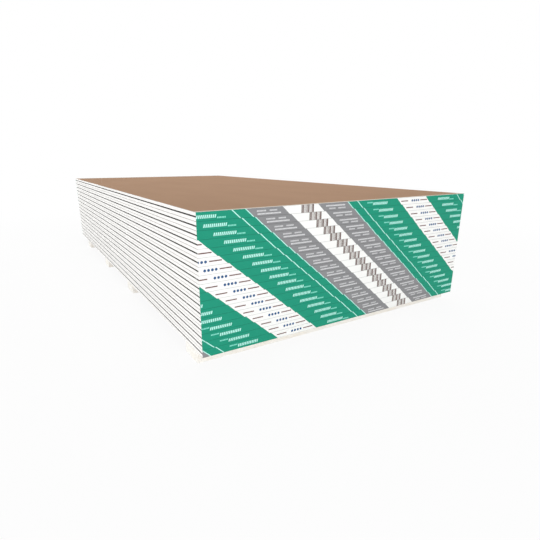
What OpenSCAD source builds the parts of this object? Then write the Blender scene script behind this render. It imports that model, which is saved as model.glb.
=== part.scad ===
// Stack of drywall sheets, taped in face-to-face pairs and laid on cross spacers.
// Millimetres. X is the sheets' width, Y their length and Z points up.
// The origin is on the floor, under the middle of the stack.

/* [Sheets] */
// Width of a sheet, across its tapered long edges
sheet_width = 1219.2; // [900:0.1:1400]
// Length of a sheet, between its cut ends
sheet_length = 2438.4; // [2400:0.1:3700]
// Thickness of a sheet
sheet_thickness = 12.7; // [9:0.1:16]
// Number of pairs in the stack
pair_count = 17; // [1:1:18]
// Width of the tapered strip along each long edge of the face
taper_width = 60; // [40:1:80]
// Depth of the face's recess at the long edge
taper_depth = 2; // [0.5:0.1:2.3]
// Radius of the paper-wrapped corners of the long edges
wrap_radius = 1; // [0.5:0.1:2.5]

/* [End tapes] */
// Thickness of the tape
tape_thickness = 0.25; // [0.1:0.05:0.5]
// Length that the tape laps onto the back of each sheet
tape_lap = 12.7; // [8:0.1:30]

/* [Spacers] */
// Width of a spacer, along the length of the sheets
spacer_width = 101.6; // [50:0.1:150]
// Height of a spacer
spacer_height = 38.1; // [25:0.1:80]
// Front ends of the sheets to the front of the first spacer
first_spacer_setback = 42; // [30:1:300]
// Front ends of the sheets to the front of the second spacer
second_spacer_setback = 847; // [600:1:900]
// Back ends of the sheets to the back of the third spacer
third_spacer_setback = 924; // [600:1:1000]
// Back ends of the sheets to the back of the last spacer
last_spacer_setback = 277; // [30:1:400]

/* [Hidden] */
// Flats in each quarter round of a corner or fold
round_steps = 4;
quarter_turn = 90;

pair_thickness = 2 * sheet_thickness;
taped_pair_thickness = pair_thickness + 2 * tape_thickness;
sheet_count = 2 * pair_count;
half_width = sheet_width / 2;
front_end = -sheet_length / 2;
back_end = sheet_length / 2;

// Front face of each spacer, from the front of the stack to the back
spacer_fronts = [
    front_end + first_spacer_setback,
    front_end + second_spacer_setback,
    back_end - third_spacer_setback - spacer_width,
    back_end - last_spacer_setback - spacer_width
];

function two_digits(number) = str(number < 10 ? "0" : "", number);
function sheet_name(index) = str("sheet_", two_digits(index + 1));
function tapes_name(pair) = str("end_tapes_", two_digits(pair + 1));
function spacer_name(index) = str("spacer_", index + 1);

// Underside of a pair's lower sheet
function pair_bottom(pair) = spacer_height + pair * taped_pair_thickness;

// Quarter round about the given centre, from the given angle
function quarter_round(centre, radius, from) = [
    for (step = [0 : round_steps])
        let (angle = from + quarter_turn * step / round_steps)
            centre + radius * [cos(angle), sin(angle)]
];

// Cross-section of a sheet lying face up: flat back, face falling away along both long edges
module sheet_section() {
    corner_x = half_width - wrap_radius;
    taper_x = half_width - taper_width;
    back_z = wrap_radius;
    face_z = sheet_thickness - taper_depth - wrap_radius;
    polygon(concat(
        quarter_round([corner_x, back_z], wrap_radius, -quarter_turn),
        quarter_round([corner_x, face_z], wrap_radius, 0),
        [[taper_x, sheet_thickness], [-taper_x, sheet_thickness]],
        quarter_round([-corner_x, face_z], wrap_radius, quarter_turn),
        quarter_round([-corner_x, back_z], wrap_radius, 2 * quarter_turn)
    ));
}

// One sheet, face up, its back on the plane of X and Y
module sheet_face_up() {
    rotate([quarter_turn, 0, 0])
        linear_extrude(sheet_length, center = true)
            sheet_section();
}

// Lower sheets of the pairs lie face up, upper ones face down on them
module sheet(index) {
    pair = floor(index / 2);
    is_upper = index % 2 == 1;
    color("ivory")
        translate([0, 0, pair_bottom(pair) + (is_upper ? pair_thickness : 0)])
            mirror([0, 0, is_upper ? 1 : 0])
                sheet_face_up();
}

// Section of the tape round the front end of a pair: two laps and a web, with rounded folds
module tape_section() {
    lap_back = front_end + tape_lap;
    top = pair_thickness + tape_thickness;
    polygon(concat(
        quarter_round([front_end, 0], tape_thickness, 2 * quarter_turn),
        [[lap_back, -tape_thickness], [lap_back, 0], [front_end, 0]],
        [[front_end, pair_thickness], [lap_back, pair_thickness], [lap_back, top]],
        quarter_round([front_end, pair_thickness], tape_thickness, quarter_turn)
    ));
}

// Folded tape round the front end of a pair that lies on the plane of X and Y
module front_tape() {
    rotate([quarter_turn, 0, quarter_turn])
        linear_extrude(sheet_width, center = true)
            tape_section();
}

// The two tapes of a pair, one round each end
module end_tapes(pair) {
    color("seagreen")
        translate([0, 0, pair_bottom(pair)]) {
            front_tape();
            mirror([0, 1, 0]) front_tape();
        }
}

// Strip across the underside, as long as the sheets are wide
module spacer(index) {
    color("antiquewhite")
        translate([-half_width, spacer_fronts[index], 0])
            cube([sheet_width, spacer_width, spacer_height]);
}

for (index = [0 : sheet_count - 1])
    sheet(index);

for (pair = [0 : pair_count - 1])
    end_tapes(pair);

for (index = [0 : len(spacer_fronts) - 1])
    spacer(index);
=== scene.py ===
"""Looks of a stack of drywall sheets: paper, printed end tapes, spacers, studio and camera."""

import math
from typing import NamedTuple

import bpy
from mathutils import Color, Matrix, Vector


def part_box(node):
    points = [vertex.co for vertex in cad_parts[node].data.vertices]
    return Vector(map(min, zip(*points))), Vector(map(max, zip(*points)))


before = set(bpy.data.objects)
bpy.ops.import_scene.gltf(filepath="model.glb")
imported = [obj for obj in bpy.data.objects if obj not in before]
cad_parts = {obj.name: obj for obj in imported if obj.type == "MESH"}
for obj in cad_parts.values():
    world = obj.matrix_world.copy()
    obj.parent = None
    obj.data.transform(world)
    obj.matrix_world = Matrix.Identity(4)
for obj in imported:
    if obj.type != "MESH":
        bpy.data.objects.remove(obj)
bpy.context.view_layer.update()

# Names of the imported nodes, from the bottom of the stack to its top
SHEETS = sorted(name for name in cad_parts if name.startswith("sheet_"))
TAPES = sorted(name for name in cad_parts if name.startswith("end_tapes_"))
SPACERS = sorted(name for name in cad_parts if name.startswith("spacer_"))

# Sizes read from the frame, in millimetres
MM = 0.001
tape_low, tape_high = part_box(TAPES[0])
tape_bottom = tape_low.z / MM
pair_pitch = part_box(TAPES[1])[0].z / MM - tape_bottom
half_width = tape_high.x / MM

# Half the width of a face between its tapers. The lowest sheet lies face up.
FLAT_WITHIN = 0.01
face_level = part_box(SHEETS[0])[1].z / MM - FLAT_WITHIN
sheet_points = [vertex.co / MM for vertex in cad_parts[SHEETS[0]].data.vertices]
flat_half_width = max(point.x for point in sheet_points if point.z > face_level)

X, Y, Z = range(3)
UP, DOWN = 1.0, -1.0
WHITE = (1.0, 1.0, 1.0, 1.0)
SCREEN_LEVELS = 255


def srgb(red, green, blue):
    """Scene-linear RGBA of a screen colour."""
    screen = Color((red / SCREEN_LEVELS, green / SCREEN_LEVELS, blue / SCREEN_LEVELS))
    return (*screen.from_srgb_to_scene_linear(), 1.0)


class Field:
    """A number, colour or shader at each point of a surface. Arithmetic with it adds nodes to its graph."""

    def __init__(self, graph, socket):
        self.graph = graph
        self.socket = socket

    def math(self, operation, *others):
        return self.graph.math(operation, self, *others)

    def __add__(self, other):
        return self.math("ADD", other)

    def __sub__(self, other):
        return self.math("SUBTRACT", other)

    def __rsub__(self, number):
        return self.graph.math("SUBTRACT", number, self)

    def __mul__(self, other):
        return self.math("MULTIPLY", other)

    def __truediv__(self, other):
        return self.math("DIVIDE", other)

    def __neg__(self):
        return 0.0 - self

    def absolute(self):
        return self.math("ABSOLUTE")

    def floor(self):
        return self.math("FLOOR")

    def root(self):
        return self.math("SQRT")

    def sign(self):
        return self.math("SIGN")

    def above(self, limit):
        return self.math("GREATER_THAN", limit)

    def below(self, limit):
        return self.math("LESS_THAN", limit)

    def between(self, low, high):
        return self.above(low) * self.below(high)

    def near(self, middle, reach):
        return (self - middle).absolute().below(reach)

    def either(self, other):
        return self.math("MAXIMUM", other)

    def repeated(self, pitch):
        """The number, counted again from 0 at every pitch."""
        return self.math("FLOORED_MODULO", pitch)

    def wrapped(self, half_range):
        """The number, brought into the range from minus to plus half_range by whole ranges."""
        return self.math("WRAP", half_range, -half_range)

    def smooth(self, start, full):
        """0 at start, 1 at full, with a smooth rise between them."""
        inputs = {"Value": self, "From Min": start, "From Max": full}
        return self.graph.field("MapRange", inputs, output="Result", interpolation_type="SMOOTHSTEP")


class Grain(NamedTuple):
    """A noise in a surface, with cells in millimetres, and how strongly it tints a colour.

    The tint begins where the noise is at start, and has its whole share where the noise is at full.
    """
    cell: tuple
    detail: float = 2.0
    roughness: float = 0.5
    start: float = 0.0
    full: float = 1.0
    share: float = 1.0


# Middle of the range of every noise and random value
NOISE_MIDDLE = 0.5

# Sockets of a Mix node that mixes colours
MIX_FACTOR, MIX_FIRST, MIX_SECOND = 0, 6, 7
MIX_RESULT = 2

# Rays that see a surface or the world itself, rather than the light from it
SEEING_RAYS = ("Is Camera Ray", "Is Glossy Ray", "Is Transmission Ray")

# Gloss that all the papers share
PAPER_SPECULAR = 0.15
PAPER_ROUGHNESS_SPAN = 0.15


class Graph:
    """The node tree of a material or a world."""

    def __init__(self, owner):
        owner.use_nodes = True
        self.owner = owner
        self.nodes = owner.node_tree.nodes
        self.links = owner.node_tree.links
        self.nodes.clear()

    def add(self, kind, inputs=None, **settings):
        """A new node, with its settings, and each input linked to a field or set to a constant."""
        node = self.nodes.new("ShaderNode" + kind)
        for name, value in settings.items():
            setattr(node, name, value)
        for key, value in (inputs or {}).items():
            if isinstance(value, Field):
                self.links.new(value.socket, node.inputs[key])
            else:
                node.inputs[key].default_value = value
        return node

    def field(self, kind, inputs=None, output=0, **settings):
        """One output of a new node."""
        return Field(self, self.add(kind, inputs, **settings).outputs[output])

    def math(self, operation, *values):
        return self.field("Math", dict(enumerate(values)), operation=operation)

    def mix(self, factor, first, second):
        """Colour that goes from first to second as factor goes from 0 to 1."""
        inputs = {MIX_FACTOR: factor, MIX_FIRST: first, MIX_SECOND: second}
        return self.field("Mix", inputs, output=MIX_RESULT, data_type="RGBA")

    def place(self):
        """X, Y and Z of the point, in millimetres."""
        split = self.add("SeparateXYZ", {0: self.field("TexCoord", output="Object")})
        return [Field(self, split.outputs[axis]) / MM for axis in (X, Y, Z)]

    def facing(self, axis):
        """Share of the surface's own normal that points along an axis."""
        return self.field("SeparateXYZ", {0: self.field("NewGeometry", output="True Normal")}, output=axis)

    def noise(self, place, grain):
        """The grain's noise, along as many axes of the place as its cell has."""
        cells = (axis / size for axis, size in zip(place, grain.cell))
        return self.field("TexNoise", {
            "Vector": self.field("CombineXYZ", dict(enumerate(cells))),
            "Scale": 1.0,
            "Detail": grain.detail,
            "Roughness": grain.roughness,
        })

    def tint(self, place, grain, colour, other):
        """The colour, with some of the other one where the grain's noise calls for it."""
        return self.mix(self.noise(place, grain).smooth(grain.start, grain.full) * grain.share, colour, other)

    def random(self, number):
        """One random value from 0 to 1 for each whole number."""
        return self.field("TexWhiteNoise", {"W": number}, output="Value", noise_dimensions="1D")

    def seen(self):
        """1 for rays from the camera, a gloss or a clear material, 0 for light that reaches a surface."""
        path = self.add("LightPath")
        camera, gloss, clear = (Field(self, path.outputs[ray]) for ray in SEEING_RAYS)
        return camera.either(gloss).either(clear)

    def show(self, shader, output="OutputMaterial"):
        """Closes the graph with the shader that is seen."""
        self.add(output, {"Surface": shader})
        return self.owner

    def paper(self, colour, fibres, roughness, relief):
        """Closes the graph as matt paper, rougher along its fibres, with a bump in millimetres."""
        return self.show(self.field("BsdfPrincipled", {
            "Base Color": colour,
            "Roughness": fibres * PAPER_ROUGHNESS_SPAN + roughness,
            "Specular IOR Level": PAPER_SPECULAR,
            "Normal": self.field("Bump", {"Strength": 1.0, "Distance": MM, "Height": relief}),
        }))


# Sheets: ivory paper on the face and round the long edges, brown paper on the back, gypsum at the cut ends
IVORY_PAPER = srgb(251, 250, 248)
IVORY_SHADE = srgb(242, 239, 234)
# Painted shade in the tapered recess, where the gap between sheets lies in shadow
RECESS_PAINTED_SHADE = srgb(84, 79, 76)
# Painted shade of the seam at the round corner next to the back, where the groove between pairs lies in
# shadow
SEAM_PAINTED_SHADE = srgb(205, 203, 199)
BROWN_PAPER = srgb(174, 140, 113)
BROWN_DARK = srgb(158, 125, 100)
BROWN_PALE = srgb(188, 155, 129)
GYPSUM = srgb(231, 229, 224)
GYPSUM_PORE = srgb(203, 200, 194)
FIBRES = Grain(cell=(0.9, 3.5, 0.9), detail=3.0, roughness=0.6, start=0.6, full=0.8, share=0.2)
SCUFFS = Grain(cell=(5.0, 60.0, 2.5), start=0.55, full=0.85, share=0.5)
CLOUDS = Grain(cell=(170.0, 430.0), detail=3.0, start=0.25, full=0.75, share=0.3)
STREAKS = Grain(cell=(2.5, 300.0), start=0.5, full=0.85, share=0.12)
PALE_FLECKS = Grain(cell=(1.5, 2.6), detail=1.0, start=0.66, full=0.74, share=0.35)
DARK_FLECKS = Grain(cell=(1.5, 2.6), detail=1.0, start=0.34, full=0.26, share=0.35)
PORES = Grain(cell=(1.1, 1.0, 1.1), detail=4.0, roughness=0.7, start=0.55, full=0.75)
RAGGED_EDGE = Grain(cell=(5.0,), detail=3.0)
BOARD_ROUGHNESS = 0.8

# Reach of the wrapped ivory paper onto the back, and the papers' relief. Millimetres.
WRAP_ON_BACK = 0.9
WRAP_RAGGED = 0.4
BACK_PAPER_STEP = 0.2
BOARD_FIBRE_RELIEF = 0.04

# Shares of the normal at which a surface counts as facing an axis, and as the round corner next to the back
# that gets painted seam shade
FACING = 0.9
CORNER_FROM, CORNER_TO = 0.3, 0.99


def brown_paper(graph, place):
    """Back paper with soft clouds, streaks along the sheet, and pale and dark flecks."""
    colour = graph.tint(place, CLOUDS, BROWN_PAPER, BROWN_DARK)
    colour = graph.tint(place, STREAKS, colour, BROWN_DARK)
    colour = graph.tint(place, PALE_FLECKS, colour, BROWN_PALE)
    return graph.tint(place, DARK_FLECKS, colour, BROWN_DARK)


def ivory_paper(graph, place, backward):
    """Face paper with scuffs and fibres, with painted shade in the tapered recess and on the round corner
    next to the back.
    """
    colour = graph.tint(place, SCUFFS, IVORY_PAPER, IVORY_SHADE)
    colour = graph.tint(place, FIBRES, colour, IVORY_SHADE)
    # Painted shade: the tapered recess of the face is coloured dark, standing in for the gap's shadow
    in_recess = backward.below(-FACING) * place[X].absolute().above(flat_half_width)
    colour = graph.mix(in_recess, colour, RECESS_PAINTED_SHADE)
    # Painted shade: the round corner next to the back is greyed to stand in for the seam's shadow
    return graph.mix(backward.between(CORNER_FROM, CORNER_TO), colour, SEAM_PAINTED_SHADE)


def board_material(name, back_side):
    """Paper and gypsum of a sheet whose back looks UP or DOWN."""
    graph = Graph(bpy.data.materials.new(name))
    place = graph.place()
    backward = graph.facing(Z) * back_side
    ragged = (graph.noise([place[Y]], RAGGED_EDGE) - NOISE_MIDDLE) * (2 * WRAP_RAGGED)
    inside_wrap = place[X].absolute().below(ragged + (half_width - WRAP_ON_BACK))
    on_back = backward.above(FACING) * inside_wrap
    at_cut_end = graph.facing(Y).absolute().above(FACING)

    colour = graph.mix(on_back, ivory_paper(graph, place, backward), brown_paper(graph, place))
    colour = graph.mix(at_cut_end, colour, graph.tint(place, PORES, GYPSUM, GYPSUM_PORE))
    fibres = graph.noise(place, FIBRES)
    relief = fibres * BOARD_FIBRE_RELIEF + on_back * BACK_PAPER_STEP
    return graph.paper(colour, fibres, BOARD_ROUGHNESS, relief)


# Stripes printed on the end tapes. Millimetres along the end, from the middle of a white stripe with bars.
# That middle lies at STRIPE_FIRST on the top pair, and STRIPE_STEP further along on each pair below.
TAPE_PAPER = srgb(250, 250, 248)
GREEN_INK = srgb(33, 149, 121)
GREY_INK = srgb(142, 142, 144)
MINT_INK = srgb(190, 246, 236)
STRIPE_HALF_REPEAT = 529.1
STRIPE_FIRST = -240.2
STRIPE_STEP = 31.34
STRIPE_SLANT = 1.085
STRIPE_JITTER = 3.0
GREY_FROM, GREY_TO = 69.8, 198.1
GREEN_FROM, GREEN_TO = 202.2, 446.6
RULE_MIDDLE, RULE_WIDTH = 245.0, 4.4


def stripe_colour(graph, slanted):
    """Plain slanted stripes in green, grey and white, mirrored about the white stripe with bars."""
    off_centre = slanted.wrapped(STRIPE_HALF_REPEAT).absolute()
    rule = off_centre.near(RULE_MIDDLE, RULE_WIDTH / 2)
    gap = off_centre.between(GREY_TO, GREEN_FROM)
    colour = graph.mix(off_centre.between(GREY_FROM, GREY_TO), TAPE_PAPER, GREY_INK)
    colour = graph.mix(off_centre.between(GREEN_FROM, GREEN_TO), colour, GREEN_INK)
    return graph.mix(rule.either(gap), colour, MINT_INK)


class Row(NamedTuple):
    """A row of short strokes: its start, their number, its rise above the print's middle, and its ink."""
    first: float
    count: int
    rise: float
    ink: tuple


# Plain marks printed over the stripes: bars, hatching, rows of strokes, lines and dots. Millimetres.
BAR_INK = srgb(92, 66, 58)
PALE_INK = srgb(228, 228, 230)
SPLIT_INK = srgb(216, 216, 218)
LIGHT_GREEN_INK = srgb(140, 228, 210)
LINE_INK = srgb(116, 82, 79)
DOT_INK = srgb(46, 88, 136)
PRINT_DROP = 1.0
BARS = (
    (-11.0, -7.6), (-6.6, -2.0), (0.2, 1.8), (4.0, 5.6), (7.8, 9.4), (10.6, 12.4),
    (13.4, 15.8), (16.6, 20.8), (23.4, 24.8), (27.0, 28.4), (30.4, 32.8), (33.6, 38.6),
)
HATCH_FROM, HATCH_TO = 309.0, 383.0
HATCH_PITCH, HATCH_STROKE = 6.2, 4.0
HATCH_LEAN = 0.25
HATCH_HEIGHT = 9.6
ROW_PITCH, ROW_STROKE = 4.7, 3.4
ROW_RISE, ROW_HEIGHT = 4.6, 4.4
ROWS = (
    Row(first=90.0, count=18, rise=ROW_RISE, ink=PALE_INK),
    Row(first=104.0, count=6, rise=-ROW_RISE, ink=SPLIT_INK),
    Row(first=144.0, count=7, rise=-ROW_RISE, ink=SPLIT_INK),
    Row(first=279.0, count=6, rise=ROW_RISE, ink=LIGHT_GREEN_INK),
)
LINES = ((-73.0, -34.0), (37.0, 78.0))
LINE_HEIGHT = 3.7
DOTS_FROM, DOTS_TO = -16.0, 32.0
DOT_PITCH = 12.0
DOT_RADIUS = 4.3


def hatching(off_centre, rise):
    """1 on the leaning strokes of a hatched block."""
    leaning = off_centre - rise * HATCH_LEAN
    in_block = leaning.between(HATCH_FROM, HATCH_TO) * rise.near(0.0, HATCH_HEIGHT / 2)
    return in_block * (leaning - HATCH_FROM).repeated(HATCH_PITCH).below(HATCH_STROKE)


def strokes(off_centre, rise, row):
    """1 on the strokes of a row."""
    from_first = off_centre - row.first
    in_row = from_first.between(0.0, row.count * ROW_PITCH) * rise.near(row.rise, ROW_HEIGHT / 2)
    return in_row * from_first.repeated(ROW_PITCH).below(ROW_STROKE)


def dots(from_middle, rise):
    """1 on a row of round dots."""
    from_dot = (from_middle - DOTS_FROM).repeated(DOT_PITCH) - DOT_PITCH / 2
    in_dot = (from_dot * from_dot + rise * rise).below(DOT_RADIUS ** 2)
    return in_dot * from_middle.between(DOTS_FROM, DOTS_TO)


def mark_colour(graph, colour, along, rise):
    """Adds the plain marks of one pair to the stripes. Those left of the bars are turned by half a turn."""
    offset = along.wrapped(STRIPE_HALF_REPEAT)
    off_centre = offset.absolute()
    turned_rise = (rise + PRINT_DROP) * offset.sign()
    for bar in BARS:
        colour = graph.mix(offset.between(*bar), colour, BAR_INK)
    colour = graph.mix(hatching(off_centre, turned_rise), colour, MINT_INK)
    for row in ROWS:
        colour = graph.mix(strokes(off_centre, turned_rise, row), colour, row.ink)

    from_middle = (along - STRIPE_HALF_REPEAT).wrapped(STRIPE_HALF_REPEAT)
    for line in LINES:
        on_line = from_middle.between(*line) * rise.near(0.0, LINE_HEIGHT / 2)
        colour = graph.mix(on_line, colour, LINE_INK)
    return graph.mix(dots(from_middle, rise), colour, DOT_INK)


# Tapes: thin ink, painted shade along the folds between pairs, bare laps. Millimetres.
LAP_PAPER = srgb(232, 226, 214)
LAP_FACING = 0.99
FOLD_PAINTED_SHADE = srgb(12, 12, 11)
FOLD_REACH = 0.75
FOLD_SHARE = 0.65
THIN_INK = Grain(cell=(2.0, 1.0, 2.0), detail=4.0, roughness=0.65, start=0.6, full=0.9, share=0.1)
TAPE_FIBRES = Grain(cell=(2.5, 1.0, 1.0), detail=3.0, roughness=0.6)
TAPE_RIPPLES = Grain(cell=(60.0, 60.0, 14.0))
TAPE_FIBRE_RELIEF = 0.02
TAPE_RIPPLE_RELIEF = 0.25
TAPE_ROUGHNESS = 0.55


def tape_material():
    """Paper tape with plain stripes and marks on its web and bare paper on its laps."""
    graph = Graph(bpy.data.materials.new("printed_tape"))
    place = graph.place()
    across = -(place[X] * place[Y].sign())
    above_first = place[Z] - tape_bottom
    pair = (above_first / pair_pitch).floor()
    rise = above_first - (pair + 0.5) * pair_pitch
    pairs_above = (len(TAPES) - 1) - pair
    jitter = (graph.random(pair) - NOISE_MIDDLE) * STRIPE_JITTER
    along = across - (pairs_above * STRIPE_STEP + jitter + STRIPE_FIRST)

    colour = stripe_colour(graph, along + rise * STRIPE_SLANT)
    colour = mark_colour(graph, colour, along, rise)
    colour = graph.tint(place, THIN_INK, colour, TAPE_PAPER)
    # Painted shade along the folds, where the groove between pairs lies in shadow
    from_fold = pair_pitch / 2 - rise.absolute()
    colour = graph.mix(from_fold.smooth(FOLD_REACH, 0.0) * FOLD_SHARE, colour, FOLD_PAINTED_SHADE)
    on_lap = graph.facing(Z).absolute().above(LAP_FACING)
    colour = graph.mix(on_lap, colour, LAP_PAPER)

    fibres = graph.noise(place, TAPE_FIBRES)
    relief = fibres * TAPE_FIBRE_RELIEF + graph.noise(place, TAPE_RIPPLES) * TAPE_RIPPLE_RELIEF
    return graph.paper(colour, fibres, TAPE_ROUGHNESS, relief)


# Spacers
SPACER_PAPER = srgb(252, 251, 247)
SPACER_SHADE = srgb(247, 243, 234)
MOTTLE = Grain(cell=(40.0, 40.0, 12.0), detail=4.0, start=0.3, full=0.75)
SAWN_GRAIN = Grain(cell=(1.4, 1.4, 1.4), detail=4.0, roughness=0.7, start=0.6, full=0.9, share=0.4)
SAWN_RELIEF = 0.1
SPACER_ROUGHNESS = 0.8


def spacer_material():
    """Pale board strip: cream paper with a soft mottle and a sawn grain."""
    graph = Graph(bpy.data.materials.new("spacer_board"))
    place = graph.place()
    colour = graph.tint(place, MOTTLE, SPACER_PAPER, SPACER_SHADE)
    colour = graph.tint(place, SAWN_GRAIN, colour, SPACER_SHADE)
    grain = graph.noise(place, SAWN_GRAIN)
    return graph.paper(colour, grain, SPACER_ROUGHNESS, grain * SAWN_RELIEF)


def dress(names, material):
    """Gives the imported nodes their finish."""
    for name in names:
        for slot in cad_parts[name].material_slots:
            slot.material = material


# The sheets lie face up and face down by turns, from the bottom
dress(SHEETS[0::2], board_material("board_face_up", DOWN))
dress(SHEETS[1::2], board_material("board_face_down", UP))
dress(TAPES, tape_material())
dress(SPACERS, spacer_material())


# Studio: pale floor, white surroundings, soft lamps. Metres.
FLOOR_SIZE = 60.0
FLOOR_DROP = 0.0005
FLOOR_COLOUR = (0.86, 0.86, 0.86, 1.0)
FLOOR_WHITE = 0.93
SHADOW_REACH = 1.5
SHADOW_END = 3.5
WORLD_LEVEL = 0.42


def make_floor():
    """Pale floor, nearly white to the camera, with the stack's soft shadow on it. Clear from below."""
    bpy.ops.mesh.primitive_plane_add(size=FLOOR_SIZE, location=(0.0, 0.0, -FLOOR_DROP))
    floor = bpy.context.object
    floor.name = "floor"
    graph = Graph(bpy.data.materials.new("floor"))
    place = graph.place()
    distance = (place[X] * place[X] + place[Y] * place[Y]).root() * MM
    white_share = distance.smooth(SHADOW_REACH, SHADOW_END) * (1 - FLOOR_WHITE) + FLOOR_WHITE
    matt = graph.field("BsdfDiffuse", {"Color": FLOOR_COLOUR})
    white = graph.field("Emission", {"Color": WHITE, "Strength": 1.0})
    from_above = graph.field("MixShader", {0: graph.seen() * white_share, 1: matt, 2: white})
    is_below = graph.field("NewGeometry", output="Backfacing")
    clear = graph.field("BsdfTransparent")
    one_sided = graph.field("MixShader", {0: is_below, 1: from_above, 2: clear})
    floor.data.materials.append(graph.show(one_sided))


def make_world():
    """White to the camera, a plain even light to the object."""
    graph = Graph(bpy.data.worlds.new("studio"))
    level = graph.seen() * (1 - WORLD_LEVEL) + WORLD_LEVEL
    background = graph.field("Background", {"Color": WHITE, "Strength": level})
    bpy.context.scene.world = graph.show(background, output="OutputWorld")


def add_lamp(name, place, aim, size, watts, sheen=True):
    """Large soft area lamp that looks at a point of the stack, with or without a sheen on the paper."""
    lamp = bpy.data.lights.new(name, "AREA")
    lamp.shape = "SQUARE"
    lamp.size = size
    lamp.energy = watts
    holder = bpy.data.objects.new(name, lamp)
    bpy.context.scene.collection.objects.link(holder)
    holder.location = place
    direction = Vector(place) - Vector(aim)
    holder.rotation_euler = direction.to_track_quat("Z", "Y").to_euler()
    holder.visible_glossy = sheen


# Camera, solved from the corners of the sheets in the photograph. Pixels, degrees and metres.
IMAGE_PX = 540
CAMERA_FOCUS_PX = 395.4
CAMERA_MIDDLE_PX = (263.4, 278.0)
CAMERA_TURN = 31.49
CAMERA_DOWN = 16.57
LEVEL_TILT = 90.0
CAMERA_ACROSS, CAMERA_ALONG = -1.0171, -2.2371
CAMERA_ABOVE_SHEETS_BOTTOM = 0.5752
CAMERA_REACH = 240.0
SENSOR_MM = 36.0


def make_camera():
    """Camera at the photograph's viewing angle."""
    camera = bpy.data.cameras.new("camera")
    holder = bpy.data.objects.new("camera", camera)
    bpy.context.scene.collection.objects.link(holder)
    sheets_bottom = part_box(SHEETS[0])[0].z
    holder.location = (CAMERA_ACROSS, CAMERA_ALONG, sheets_bottom + CAMERA_ABOVE_SHEETS_BOTTOM)
    holder.rotation_euler = (math.radians(LEVEL_TILT - CAMERA_DOWN), 0.0, math.radians(-CAMERA_TURN))
    middle_x, middle_y = CAMERA_MIDDLE_PX
    camera.sensor_width = SENSOR_MM
    camera.lens = SENSOR_MM * CAMERA_FOCUS_PX / IMAGE_PX
    camera.shift_x = (IMAGE_PX / 2 - middle_x) / IMAGE_PX
    camera.shift_y = (middle_y - IMAGE_PX / 2) / IMAGE_PX
    camera.clip_end = CAMERA_REACH
    bpy.context.scene.camera = holder


make_floor()
make_world()
add_lamp("ceiling", place=(0.6, 0.5, 5.0), aim=(0.3, 0.2, 0.0), size=4.0, watts=102.0)
add_lamp("far_corner", place=(5.0, 5.5, 1.2), aim=(0.5, 0.9, 0.25), size=3.0, watts=240.0, sheen=False)
add_lamp("corner", place=(-7.0, -8.6, 1.55), aim=(-0.5, -0.9, 0.25), size=3.0, watts=632.0)
add_lamp("left", place=(-3.5, 3.2, 1.2), aim=(-0.6, 0.8, 0.25), size=2.4, watts=38.0)
add_lamp("front", place=(1.5, -7.0, 1.2), aim=(0.2, -1.2, 0.25), size=2.4, watts=24.0)
make_camera()

bpy.context.scene.view_settings.view_transform = "Standard"
